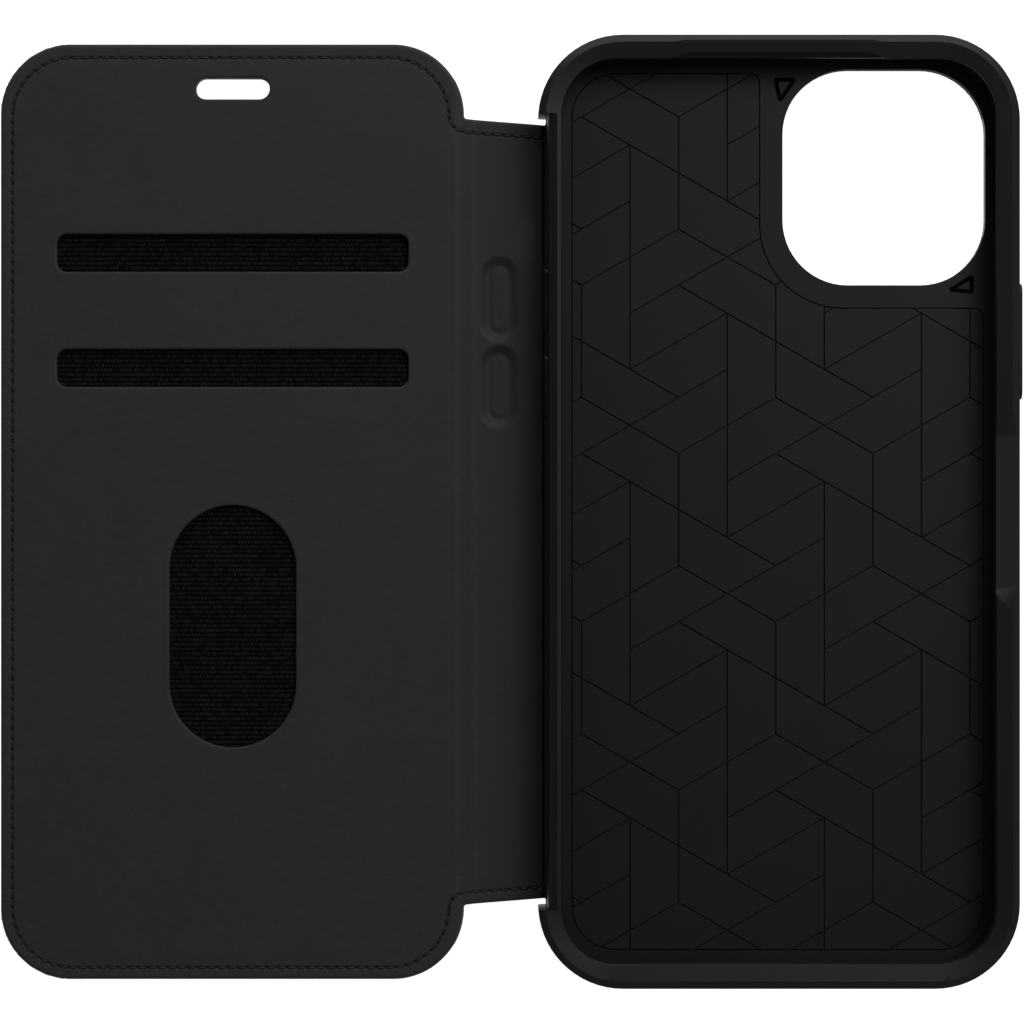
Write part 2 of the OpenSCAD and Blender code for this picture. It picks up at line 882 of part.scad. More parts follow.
module back_adhesive() {
    color(film_colour)
    difference() {
        translate([0, 0, back_leather_thickness])
        linear_extrude(height = adhesive_thickness)
        panel_outline(2 * side_wall / 5);
        translate([-tray_length, -tray_length, 0])
        cube([tray_length + tray_fold_x + fold_to_step + fold_gap, 2 * tray_length, past + floor_base]);
    }
}

// ---- spine ----

// the spine from a base height to a top height, mitred under both folds
module spine_layer(base, top) {
    near = cover_fold_x + fold_gap;
    far = tray_fold_x - fold_gap;
    section = [
        [near + fold_height, 0],
        [far - fold_height, 0],
        [far, fold_height],
        [far, spine_thickness + past],
        [near, spine_thickness + past],
        [near, fold_height]
    ];
    intersection() {
        translate([0, 0, base])
        linear_extrude(height = top - base)
        polygon([
            [cover_fold_x, -spine_half_at_cover],
            [tray_fold_x, -spine_half_at_tray],
            [tray_fold_x, spine_half_at_tray],
            [cover_fold_x, spine_half_at_cover]
        ]);
        bar_along_y(tray_length, section);
    }
}

module track(length, centre, inset) {
    translate([track_x, centre])
    rotate([0, 0, 90])
    long_slot(length - 2 * inset, track_width - 2 * inset);
}

module tracks(inset) {
    track(upper_track_length, upper_track_centre, inset);
    track(lower_track_length, lower_track_centre, inset);
}

// a prism of the racetracks between two heights
module track_prism(inset, base, top) {
    translate([0, 0, base])
    linear_extrude(height = top - base)
    tracks(inset);
}

// the line of thread along one end of the spine, mirrored for the other end
module spine_thread(width, base, top, end) {
    slope = atan2(spine_half_at_cover - spine_half_at_tray, fold_span);
    start = 2 * fold_gap;
    mirror([0, end, 0])
    translate([cover_fold_x + start, spine_half_at_cover - spine_stitch_inset - width / 2, base])
    rotate([0, 0, -slope])
    cube([fold_span - 2 * start, width, top - base]);
}

module spine_outer_leather() {
    color(back_colour)
    difference() {
        spine_layer(0, spine_leather_thickness);
        track_prism(0, track_floor, spine_leather_thickness + past);
    }
}

module spine_stiffener() {
    color(board_colour)
    difference() {
        spine_layer(spine_leather_thickness, strip_top);
        track_prism(0, 0, past);
    }
}

module spine_lining() {
    color(leather_colour)
    difference() {
        union() {
            spine_layer(strip_top, spine_thickness);
            track_prism(0, track_floor, spine_thickness);
        }
        track_prism(0.2, island_top, spine_thickness + past);
        difference() {
            track_prism(0.2, groove_floor, spine_thickness);
            track_prism(track_groove, 0, spine_thickness + past);
        }
        spine_thread(stitch_groove, spine_thickness - stitch_depth, spine_thickness + past, 0);
        spine_thread(stitch_groove, spine_thickness - stitch_depth, spine_thickness + past, 1);
    }
}

module spine_stitching(end) {
    intersection() {
        spine_thread(thread_width, spine_thickness - stitch_depth, spine_thickness - thread_top_drop, end);
        spine_layer(0, spine_thickness);
    }
}

module spine_stitching_upper() {
    color(thread_colour)
    spine_stitching(0);
}

module spine_stitching_lower() {
    color(thread_colour)
    spine_stitching(1);
}

// ---- cover ----

module cover_outline(inset) {
    translate([cover_x, 0])
    rounded_rectangle(cover_width - 2 * inset, cover_length - 2 * inset, cover_corner_radius - inset);
}

module ear_slot(grow) {
    translate([window_x, ear_slot_centre])
    long_slot(ear_slot_width + 2 * grow, ear_slot_length + 2 * grow);
}

module cover_magnet(centre, play) {
    translate([
        cover_magnet_x - cover_magnet_width / 2 - play,
        centre - magnet_length / 2 - play,
        cover_magnet_z - play
    ])
    cube([
        cover_magnet_width + 2 * play,
        magnet_length + 2 * play,
        cover_magnet_thickness + 2 * play
    ]);
}

module pocket_shape(top, inset) {
    low = pocket_bottom + inset;
    translate([window_x, (top - inset + low) / 2])
    square([pocket_width - 2 * inset, top - inset - low], center = true);
}

// the path of the thread round the cover, open at the spine
module cover_thread_path(width) {
    gap = 2 * spine_half_at_cover - 2 * spine_stitch_inset + 2 * past;
    difference() {
        cover_outline(stitch_inset - width / 2);
        cover_outline(stitch_inset + width / 2);
        translate([cover_right - 2 * stitch_inset, -gap / 2])
        square([2 * stitch_inset, gap]);
    }
}

module cover_outer_leather() {
    color(back_colour)
    difference() {
        union() {
            linear_extrude(height = outer_leather_thickness)
            union() {
                cover_outline(0);
                translate([cover_right - side_wall, -spine_half_at_cover])
                square([side_wall + fold_margin, 2 * spine_half_at_cover]);
            }
            linear_extrude(height = inner_base)
            difference() {
                cover_outline(0);
                cover_outline(turned_edge);
            }
        }
        // mitre below the fold
        bar_along_y(cover_length, [
            [cover_fold_x - fold_gap, fold_height],
            [cover_fold_x - fold_gap - fold_height - past, -past],
            [cover_fold_x + past, -past],
            [cover_fold_x + past, fold_height + past],
            [cover_fold_x - fold_gap, fold_height + past]
        ]);
        translate([0, 0, -past])
        linear_extrude(height = cover_thickness + past)
        ear_slot(0);
    }
}

module cover_board() {
    color(board_colour)
    difference() {
        translate([0, 0, outer_leather_thickness])
        linear_extrude(height = inner_base - outer_leather_thickness)
        difference() {
            cover_outline(board_inset);
            ear_slot(turned_edge);
        }
        translate([0, 0, backing_base])
        linear_extrude(height = past)
        pocket_shape(pocket_top, 0);
        cover_magnet(magnet_centre, 0);
        cover_magnet(-magnet_centre, 0);
    }
}

module cover_magnet_upper() {
    color(magnet_colour)
    cover_magnet(magnet_centre, 0);
}

module cover_magnet_lower() {
    color(magnet_colour)
    cover_magnet(-magnet_centre, 0);
}

module pocket_backing() {
    color(fabric_colour)
    translate([0, 0, backing_base])
    linear_extrude(height = fabric_thickness)
    pocket_shape(pocket_top, fabric_play);
}

module pocket_divider() {
    color(fabric_colour)
    union() {
        translate([0, 0, divider_base])
        linear_extrude(height = fabric_thickness)
        pocket_shape(divider_top, fabric_play);
        // the divider is sewn down along its lower end
        translate([window_x, pocket_bottom + stitch_inset / 2 + fabric_play, backing_base + fabric_thickness])
        linear_extrude(height = inner_base - backing_base - fabric_thickness)
        square([pocket_width - 2 * fabric_play, stitch_inset], center = true);
        // and along its top edge, on both sides of the cards
        for (side = [-1, 1]) {
            translate([
                window_x + side * (pocket_width / 2 - fabric_play - stitch_inset / 4),
                (divider_top + pocket_bottom) / 2,
                backing_base + fabric_thickness
            ])
            linear_extrude(height = inner_base - backing_base - fabric_thickness)
            square([stitch_inset / 2, divider_top - pocket_bottom - 2 * fabric_play], center = true);
        }
    }
}

module cover_inner_leather() {
    profile = [
        [inner_inset, inner_base],
        [inner_inset, cover_thickness - inner_bevel],
        [inner_inset + inner_bevel, cover_thickness]
    ];
    color(leather_colour)
    difference() {
        translate([cover_x, 0, 0])
        profiled_block(cover_width, cover_length, cover_corner_radius, profile);
        translate([0, 0, inner_base - past])
        linear_extrude(height = inner_leather_thickness + 2 * past)
        union() {
            ear_slot(0);
            translate([window_x, upper_window_centre])
            rounded_rectangle(card_window_width, card_window_length, card_window_radius);
            translate([window_x, lower_window_centre])
            rounded_rectangle(card_window_width, card_window_length, card_window_radius);
            translate([window_x, thumb_centre])
            rotate([0, 0, 90])
            long_slot(thumb_length, thumb_width);
        }
        translate([0, 0, cover_thickness - stitch_depth])
        linear_extrude(height = past)
        cover_thread_path(stitch_groove);
    }
}

module cover_stitching() {
    color(thread_colour)
    translate([0, 0, cover_thickness - stitch_depth])
    linear_extrude(height = stitch_depth - thread_top_drop)
    cover_thread_path(thread_width);
}

phone_shell();
power_button();
volume_up_button();
volume_down_button();
shell_magnet_upper();
shell_magnet_lower();
back_adhesive();
back_leather();
spine_outer_leather();
spine_stiffener();
spine_lining();
spine_stitching_upper();
spine_stitching_lower();
cover_outer_leather();
cover_board();
cover_magnet_upper();
cover_magnet_lower();
pocket_backing();
pocket_divider();
cover_inner_leather();
cover_stitching();
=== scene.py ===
import json
import math

import bpy
import numpy as np
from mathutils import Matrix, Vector, geometry, kdtree


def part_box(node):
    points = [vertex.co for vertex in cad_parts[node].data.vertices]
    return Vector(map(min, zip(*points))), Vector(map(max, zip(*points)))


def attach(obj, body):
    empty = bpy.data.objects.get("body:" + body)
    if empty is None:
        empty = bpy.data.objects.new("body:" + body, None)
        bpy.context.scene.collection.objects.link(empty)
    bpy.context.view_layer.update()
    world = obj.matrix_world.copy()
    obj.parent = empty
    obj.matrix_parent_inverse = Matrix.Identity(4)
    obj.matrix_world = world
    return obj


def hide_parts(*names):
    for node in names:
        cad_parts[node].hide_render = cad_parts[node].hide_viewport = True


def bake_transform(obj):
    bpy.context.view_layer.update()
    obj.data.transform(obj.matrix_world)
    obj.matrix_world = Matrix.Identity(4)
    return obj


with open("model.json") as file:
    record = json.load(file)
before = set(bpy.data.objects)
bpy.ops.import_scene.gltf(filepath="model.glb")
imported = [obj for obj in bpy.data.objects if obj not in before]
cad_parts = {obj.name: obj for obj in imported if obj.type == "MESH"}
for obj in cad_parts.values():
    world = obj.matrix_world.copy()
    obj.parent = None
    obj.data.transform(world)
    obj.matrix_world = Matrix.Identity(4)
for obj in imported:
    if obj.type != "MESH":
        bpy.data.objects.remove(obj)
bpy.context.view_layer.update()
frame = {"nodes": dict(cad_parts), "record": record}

# Looks of the open folio case. Shapes are worked out in millimetres, in the frame's axes,
# and turned into metres when a mesh is made.
MM = 0.001


def box_mm(node):
    """Lowest and highest corner of a CAD node, in millimetres."""
    low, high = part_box(node)
    return np.array(low) / MM, np.array(high) / MM


def joint_place(name):
    """A joint's place, in millimetres."""
    joint = next(j for j in frame["record"]["behaviour"]["joints"] if j["name"] == name)
    return [value / MM for value in joint["pos_m"]]


# ---- sizes, in millimetres ----

COVER_LOW, COVER_HIGH = box_mm("cover_inner_leather")
_, LINING_HIGH = box_mm("spine_lining")
WRAP_LOW, WRAP_HIGH = box_mm("cover_outer_leather")
SHELL_LOW, SHELL_HIGH = box_mm("phone_shell")
SHELL_X = (SHELL_LOW[0] + SHELL_HIGH[0]) / 2
_, PANEL_HIGH = box_mm("back_leather")
BACKING_LOW, BACKING_HIGH = box_mm("pocket_backing")
DIVIDER_LOW, DIVIDER_HIGH = box_mm("pocket_divider")
COVER_FOLD, _, FOLD_HEIGHT = joint_place("cover_fold")
TRAY_FOLD, _, _ = joint_place("spine_fold")

COVER_TOP = COVER_HIGH[2]
COVER_BASE = COVER_LOW[2]
COVER_LEFT = WRAP_LOW[0]
COVER_HALF = WRAP_HIGH[1]
COVER_RIGHT = COVER_FOLD - 0.3
COVER_CORNER = 11.4
WINDOW_X = (BACKING_LOW[0] + BACKING_HIGH[0]) / 2
COVER_EDGE_ROUND = 0.6
COVER_EDGE_DROP = 0.42
WINDOW_EDGE_ROUND = 0.4
WINDOW_EDGE_DROP = 0.24
# the spine narrows by SPINE_TAPER at each end from the cover to the tray
SPINE_TOP = LINING_HIGH[2]
SPINE_HALF = LINING_HIGH[1]
SPINE_TAPER = 1.0
SPINE_EDGE_DROP = 0.26
SPINE_NEAR_TRAY = 2.5
SPINE_NEAR_TRAY_DROP = 0.1
# thickness of the outer leather on the cover and on the spine, and of its turned edge
COVER_SKIN = FOLD_HEIGHT
SPINE_SKIN = 0.45
TURNED_EDGE = 0.88
TURNED_EDGE_ROUND = 0.2
TURNED_EDGE_DROP = 0.12
OUTER_EDGE_ROUND = 0.5
OUTER_EDGE_DROP = 0.3
COVER_EDGE_EXTRA_DROP = 0.22
NOTCH_RADIUS = 0.5
# the two halves of the outer leather meet flush along the spine's middle
SEAM_X = (COVER_FOLD + TRAY_FOLD) / 2
SEAM_FADE = 1.2
# the leather steps down from the cover to the spine over this stretch
FALL_START = COVER_FOLD - 1.9
FALL_END = COVER_FOLD + 1.9
# distance between rows of points across a fold
FOLD_ROWS = 0.16
# windows in the inner leather: centre y, width, length and corner radius
CARD_WINDOWS = [(41.7, 56.6, 6.05, 1.6), (23.15, 56.6, 6.05, 1.6)]
THUMB_WINDOW = (-18.5, 20.35, 39.0, 10.175)
EAR_SLOT = (68.2, 11.95, 3.43, 1.715)
# racetracks pressed into the spine: centre y and straight half length
TRACK_X = TRAY_FOLD - 7.25
TRACKS = [(34.3, 3.82), (20.2, 3.62)]
TRACK_RING = 1.75
TRACK_EDGE = 3.2
TRACK_ISLAND = 0.7
TRACK_GROOVE_FLOOR = 0.25
TRACK_ISLAND_TOP = 0.42
# layers under a racetrack: the lining, and the outer leather below it
TRACK_LINING = 0.08
LINING_CLEARANCE = 0.01
TRACK_GAP = 0.1
TRACK_SKIN_MIN = 0.19
# stitches
STITCH_PITCH = 1.6
STITCH_LENGTH = 1.36
THREAD_RADIUS = 0.155
STITCH_INSET_SIDE = 1.96
STITCH_INSET_END = 2.13
STITCH_INSET_FOLD = 2.45
STITCH_INSET_NOTCH = 2.1
STITCH_SHIFT = -0.15
STITCH_CORNER = 9.6
STITCH_NOTCH_RADIUS = 2.6
STITCH_TAIL = 0.35
STITCH_TAIL_RISE = 0.15
# the thread lies in a groove, with a needle hole at each end of a stitch
STITCH_GROOVE_DEPTH = 0.16
STITCH_GROOVE_WIDTH = 0.34
HOLE_DEPTH = 0.2
HOLE_RADIUS = 0.17
PULL_DEPTH = 0.04
PULL_WIDTH = 1.1
THREAD_DEPTH = 0.2
THREAD_ARCH = 0.13
THREAD_SLANT = 0.05
# back panel and camera window
PANEL_CORNER = 12.2
CAMERA_SIZE = (35.55, 37.65)
CAMERA_CENTRE = (17.425, 53.875)
CAMERA_CORNER = 11.95
PANEL_THICKNESS = PANEL_HIGH[2]
PANEL_EDGE_ROUND = 0.4
PANEL_EDGE_DROP = 0.25
# woven fabric
FABRIC_THICKNESS = 0.2
FABRIC_SAG = 0.03
FABRIC_SLACK = 0.15
FABRIC_SEAM = 1.2
FABRIC_CORNER = 0.6
WEFT_PITCH = 0.75
WARP_PITCH = 0.5
# CAD nodes that stay: weld distance, and angles in degrees for flattening, bevels and shading
WELD = 0.002
FLAT_ANGLE = 0.5
BEVEL_ANGLE = 25
SHARP_ANGLE = 20
# the tray's engraved floor: centre x, half width, half length and height
ENGRAVED_FLOOR = (SHELL_X, 33.4, 71.4, 2.35)
PLASTIC_SPECULAR = 0.225
# the table and the viewing camera, in metres
TABLE_HALF = 1.5
TABLE_GAP = 0.0001
VIEW_PLACE = (0.475 * MM, -0.04 * MM, 0.641)
VIEW_LENS = 139.3
VIEW_SENSOR = 36
WORLD_STRENGTH = 0.15


# ---- plane curves ----

CORNERS = [(-1, -1), (1, -1), (1, 1), (-1, 1)]
# keeps the straight part between two full round corners longer than nothing
JUST_UNDER = 0.999


def unit(vector):
    return vector / max(np.linalg.norm(vector), 1e-9)


def rounded_path(corners, closed=True):
    """Points along a path through (x, y, radius) corners, each rounded by its radius."""
    path = []
    count = len(corners)
    for i, (x, y, radius) in enumerate(corners):
        here = np.array((x, y))
        if radius == 0 or (not closed and i in (0, count - 1)):
            path.append(here)
            continue
        back = unit(np.array(corners[i - 1][:2]) - here)
        ahead = unit(np.array(corners[(i + 1) % count][:2]) - here)
        half = math.acos(np.clip(back @ ahead, -1, 1)) / 2
        centre = here + unit(back + ahead) * radius / math.sin(half)
        first = here + back * radius / math.tan(half) - centre
        last = here + ahead * radius / math.tan(half) - centre
        start = math.atan2(first[1], first[0])
        turn = math.atan2(last[1], last[0]) - start
        turn = (turn + math.pi) % (2 * math.pi) - math.pi
        steps = max(4, int(abs(turn) * radius / 0.35))
        for k in range(steps + 1):
            angle = start + turn * k / steps
            path.append(centre + radius * np.array((math.cos(angle), math.sin(angle))))
    return np.array(path)


def resample(path, spacing, closed=True):
    """The same path with points about spacing apart; its own points stay."""
    result = []
    ends = np.roll(path, -1, axis=0) if closed else path[1:]
    for a, b in zip(path, ends):
        length = np.linalg.norm(b - a)
        if length < 1e-6:
            continue
        steps = max(1, round(length / spacing))
        result += [a + (b - a) * k / steps for k in range(steps)]
    if not closed:
        result.append(path[-1])
    return np.array(result)


def measured(path):
    """Points close together along an open path, and how far along it each one is."""
    samples = resample(path, 0.05, closed=False)
    steps = np.linalg.norm(np.diff(samples, axis=0), axis=1)
    return samples, np.concatenate(([0], np.cumsum(steps)))


def rounded_box(x, y, half_x, half_y, radius):
    return rounded_path([(x + i * half_x, y + j * half_y, radius) for i, j in CORNERS])


def rounded_window(window):
    """The outline of a window in the cover, from (centre y, width, length, radius)."""
    y, width, length, radius = window
    return rounded_box(WINDOW_X, y, width / 2, length / 2, radius * JUST_UNDER)


def spine_edge(x):
    """Half length of the spine at x."""
    return SPINE_HALF - SPINE_TAPER * (x - COVER_FOLD) / (TRAY_FOLD - COVER_FOLD)


def mirrored(corners):
    """Corners for the upper half, from right to left, joined to their mirror image below."""
    return corners + [(x, -y, radius) for x, y, radius in reversed(corners)]


def cover_and_spine(inset, right):
    """Outline of the cover with the spine as far as right."""
    return rounded_path(mirrored([
        (right, spine_edge(right), 0),
        (COVER_RIGHT - inset, spine_edge(COVER_RIGHT), NOTCH_RADIUS),
        (COVER_RIGHT - inset, COVER_HALF - inset, COVER_CORNER - inset),
        (COVER_LEFT + inset, COVER_HALF - inset, COVER_CORNER - inset),
    ]))


def stitch_path():
    """The thread's path round the cover, from the spine's upper end to its lower end."""
    tail = TRAY_FOLD - STITCH_TAIL
    side = COVER_RIGHT - STITCH_INSET_FOLD
    end = COVER_HALF - STITCH_INSET_END
    path = rounded_path(mirrored([
        (tail, spine_edge(tail) - STITCH_INSET_NOTCH + STITCH_TAIL_RISE, 0),
        (side, spine_edge(side) - STITCH_INSET_NOTCH, STITCH_NOTCH_RADIUS),
        (side, end, STITCH_CORNER),
        (COVER_LEFT + STITCH_INSET_SIDE, end, STITCH_CORNER),
    ]), closed=False)
    return path + np.array((0, STITCH_SHIFT))


# ---- helpers for heights ----

def smooth(t):
    t = np.clip(t, 0, 1)
    return t * t * (3 - 2 * t)


def rolled(distance, radius, drop):
    """How far a surface has dropped at this distance from a rounded edge."""
    t = np.clip(1 - distance / radius, 0, 1)
    return drop * (1 - np.sqrt(1 - t * t))


def nearest(points, samples):
    """Distance from each point to the nearest sample, and that sample's number."""
    tree = kdtree.KDTree(len(samples))
    for i, (x, y) in enumerate(samples):
        tree.insert((x, y, 0), i)
    tree.balance()
    found = [tree.find((x, y, 0)) for x, y in points]
    return np.array([f[2] for f in found]), np.array([f[1] for f in found])


def distance_to(points, loops):
    samples = np.concatenate([resample(loop, 0.08) for loop in loops])
    return nearest(points, samples)[0]


def inside(points, loop):
    x, y = points[:, 0], points[:, 1]
    result = np.zeros(len(points), bool)
    for (x0, y0), (x1, y1) in zip(loop, np.roll(loop, -1, axis=0)):
        if y0 != y1:
            result ^= ((y0 > y) != (y1 > y)) & (x < (x1 - x0) * (y - y0) / (y1 - y0) + x0)
    return result


def stack(x, y):
    return np.stack((x, y), axis=1)


def grid(low, high, spacing):
    xs = np.arange(low[0], high[0], spacing)
    ys = np.arange(low[1], high[1], spacing)
    x, y = np.meshgrid(xs, ys)
    x = x + (np.arange(len(ys)) % 2)[:, None] * spacing / 2
    return stack(x.ravel(), y.ravel())


def beside(path, offsets, spacing, closed=True):
    """Points beside a path, at each offset across it."""
    points = resample(path, spacing, closed)
    ahead = np.roll(points, -1, axis=0) - np.roll(points, 1, axis=0)
    if not closed:
        ahead[0], ahead[-1] = points[1] - points[0], points[-1] - points[-2]
    ahead /= np.linalg.norm(ahead, axis=1)[:, None] + 1e-9
    across = stack(-ahead[:, 1], ahead[:, 0])
    return np.concatenate([points + across * offset for offset in offsets])


# ---- meshes ----

def new_object(name, vertices, faces, material, sharp=35):
    """A smooth-shaded object from vertices in millimetres, which also keep their rest place."""
    mesh = bpy.data.meshes.new(name)
    mesh.from_pydata((np.array(vertices) * MM).tolist(), [], faces)
    mesh.update()
    place = mesh.attributes.new("rest_place", "FLOAT_VECTOR", "POINT")
    place.data.foreach_set("vector", np.array(vertices, np.float32).ravel())
    mesh.shade_smooth()
    mesh.set_sharp_from_angle(angle=math.radians(sharp))
    mesh.materials.append(material)
    thing = bpy.data.objects.new(name, mesh)
    bpy.context.scene.collection.objects.link(thing)
    return thing


def closed_sheet(name, loops, seeds, top, bottom, material):
    """A solid sheet between two height functions, inside the first loop and outside the others."""
    seeds = seeds[inside(seeds, loops[0])]
    for hole in loops[1:]:
        seeds = seeds[~inside(seeds, hole)]
    seeds = seeds[distance_to(seeds, loops) > 0.06]
    corners, edges = [], []
    for loop in loops:
        first = len(corners)
        corners += [Vector(p) for p in loop]
        edges += [(first + i, first + (i + 1) % len(loop)) for i in range(len(loop))]
    corners += [Vector(p) for p in seeds]
    flat, _, faces, *_ = geometry.delaunay_2d_cdt(corners, edges, [], 0, 1e-4)
    flat = np.array([tuple(p) for p in flat])
    faces = np.array(faces)
    middle = flat[faces].mean(axis=1)
    keep = inside(middle, loops[0])
    for hole in loops[1:]:
        keep &= ~inside(middle, hole)
    faces = faces[keep]
    a, b, c = flat[faces[:, 0]], flat[faces[:, 1]], flat[faces[:, 2]]
    turned = (b[:, 0] - a[:, 0]) * (c[:, 1] - a[:, 1]) < (b[:, 1] - a[:, 1]) * (c[:, 0] - a[:, 0])
    faces[turned] = faces[turned][:, ::-1]
    count = len(flat)
    upper = np.column_stack((flat, top(flat)))
    lower = np.column_stack((flat, bottom(flat)))
    pairs = np.concatenate((faces[:, [0, 1]], faces[:, [1, 2]], faces[:, [2, 0]]))
    known = {tuple(p) for p in pairs.tolist()}
    rim = [p for p in known if (p[1], p[0]) not in known]
    walls = [(a + count, b + count, b, a) for a, b in rim]
    solid = faces.tolist() + (faces[:, ::-1] + count).tolist() + walls
    used = np.unique(np.concatenate((faces.ravel(), faces.ravel() + count)))
    number = np.full(2 * count, -1)
    number[used] = np.arange(len(used))
    solid = [[int(number[i]) for i in face] for face in solid]
    return new_object(name, np.concatenate((upper, lower))[used], solid, material)


def track_seeds():
    """Points round both racetracks, close enough together to carry their relief."""
    points = []
    for centre, half in TRACKS:
        ends = np.array([(TRACK_X, centre - half), (TRACK_X, centre + half)])
        points.append(resample(ends, 0.3, closed=False))
        for radius in np.arange(0.3, TRACK_EDGE + 0.5, 0.22):
            loop = rounded_box(TRACK_X, centre, radius, half + radius, radius * JUST_UNDER)
            points.append(resample(loop, 0.35))
    return np.concatenate(points)


def track_relief(points):
    """How deep the leather lies below the spine's top round the racetracks."""
    depth = np.zeros(len(points))
    groove = SPINE_TOP - TRACK_GROOVE_FLOOR
    island = SPINE_TOP - TRACK_ISLAND_TOP
    for centre, half in TRACKS:
        along = np.clip(points[:, 1] - centre, -half, half)
        away = np.hypot(points[:, 0] - TRACK_X, points[:, 1] - centre - along)
        slope = np.clip((TRACK_EDGE - away) / (TRACK_EDGE - TRACK_RING), 0, 1)
        outer = groove * (slope + smooth(slope)) / 2
        from_island = smooth((away - TRACK_ISLAND) / (TRACK_RING - TRACK_ISLAND))
        inner = island + (groove - island) * from_island
        depth = np.maximum(depth, np.where(away > TRACK_RING, outer, inner))
    return depth


def stitch_groove(points, path):
    """Depth of the groove and the needle holes along the thread."""
    samples, run = measured(path)
    away, number = nearest(points, samples)
    along = run[number]
    to_hole = np.abs((along + STITCH_PITCH / 2) % STITCH_PITCH - STITCH_PITCH / 2)
    groove = STITCH_GROOVE_DEPTH * smooth(1 - away / STITCH_GROOVE_WIDTH)
    hole = HOLE_DEPTH * np.exp(-((to_hole / HOLE_RADIUS) ** 2) - (away / HOLE_RADIUS) ** 2)
    pull = PULL_DEPTH * np.exp(-((away / PULL_WIDTH) ** 2))
    return groove + hole + pull


def fall(points):
    """0 on the cover, 1 on the spine."""
    return smooth((points[:, 0] - FALL_START) / (FALL_END - FALL_START))


def from_seam(points):
    """0 at the seam between the two halves of the outer leather, 1 away from it."""
    return smooth(np.abs(points[:, 0] - SEAM_X) / SEAM_FADE)


def below_tracks(points):
    """Highest that the outer leather may reach under the racetracks."""
    return np.maximum(SPINE_TOP - track_relief(points) - TRACK_GAP, TRACK_SKIN_MIN)


def fold_point(x):
    """A place in the fold, in metres."""
    return (x * MM, 0, FOLD_HEIGHT * MM)


def fold_seeds(low, high, half):
    """Rows of points close together across a fold, so that the leather's change of height there is
    smooth.
    """
    xs = np.arange(low, high, FOLD_ROWS)
    ys = np.arange(-half, half, 0.8)
    x, y = np.meshgrid(xs, ys)
    return stack(x.ravel(), y.ravel())


# offsets of the rows of points that carry the shape of an edge or of the stitch line
INNER_RINGS = [0.09, 0.18, 0.28, 0.4, 0.55, 0.75]
BESIDE_STITCH = [0.08, 0.16, 0.24, 0.34, 0.45, 0.6, 0.8]
STITCH_ROWS = [-row for row in reversed(BESIDE_STITCH)] + [0] + BESIDE_STITCH
WRAP_RINGS = [0.08, 0.17, 0.28, 0.42, 0.58, 0.84, 0.92]
SLOT_RINGS = [-0.1, -0.22, -0.36]
PANEL_RINGS = [-0.12, -0.25, -0.4, 0.12, 0.25, 0.4]


def inner_leather(material):
    """The leather that lines the cover and the spine in one piece."""
    right = TRAY_FOLD - 0.05
    outline = resample(cover_and_spine(0.1, right), 0.5)
    holes = [resample(rounded_window(w), 0.4) for w in [*CARD_WINDOWS, THUMB_WINDOW, EAR_SLOT]]
    path = stitch_path()
    seeds = np.concatenate([
        grid((COVER_LEFT, -COVER_HALF), (right, COVER_HALF), 1.1),
        fold_seeds(FALL_START - 0.3, FALL_END + 0.3, spine_edge(COVER_FOLD)),
        beside(outline, INNER_RINGS, 0.45),
        *[beside(hole, [-ring for ring in INNER_RINGS], 0.35) for hole in holes],
        beside(path, STITCH_ROWS, 0.2, closed=False),
        track_seeds(),
    ])

    def top(points):
        down = fall(points)
        height = COVER_TOP + (SPINE_TOP - COVER_TOP) * down
        to_tray = (points[:, 0] - TRAY_FOLD + SPINE_NEAR_TRAY) / SPINE_NEAR_TRAY
        height -= SPINE_NEAR_TRAY_DROP * smooth(to_tray)
        edge_drop = COVER_EDGE_DROP + (SPINE_EDGE_DROP - COVER_EDGE_DROP) * down
        height -= rolled(distance_to(points, [outline]), COVER_EDGE_ROUND, edge_drop)
        height -= rolled(distance_to(points, holes), WINDOW_EDGE_ROUND, WINDOW_EDGE_DROP)
        height -= stitch_groove(points, path)
        return height - track_relief(points)

    def bottom(points):
        flat = COVER_BASE + (FOLD_HEIGHT - COVER_BASE) * fall(points)
        thin = SPINE_TOP - track_relief(points) - TRACK_LINING
        return np.minimum(flat, thin) + LINING_CLEARANCE

    leather = closed_sheet("inner_leather", [outline, *holes], seeds, top, bottom, material)
    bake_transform(leather)
    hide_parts("cover_inner_leather", "spine_lining")


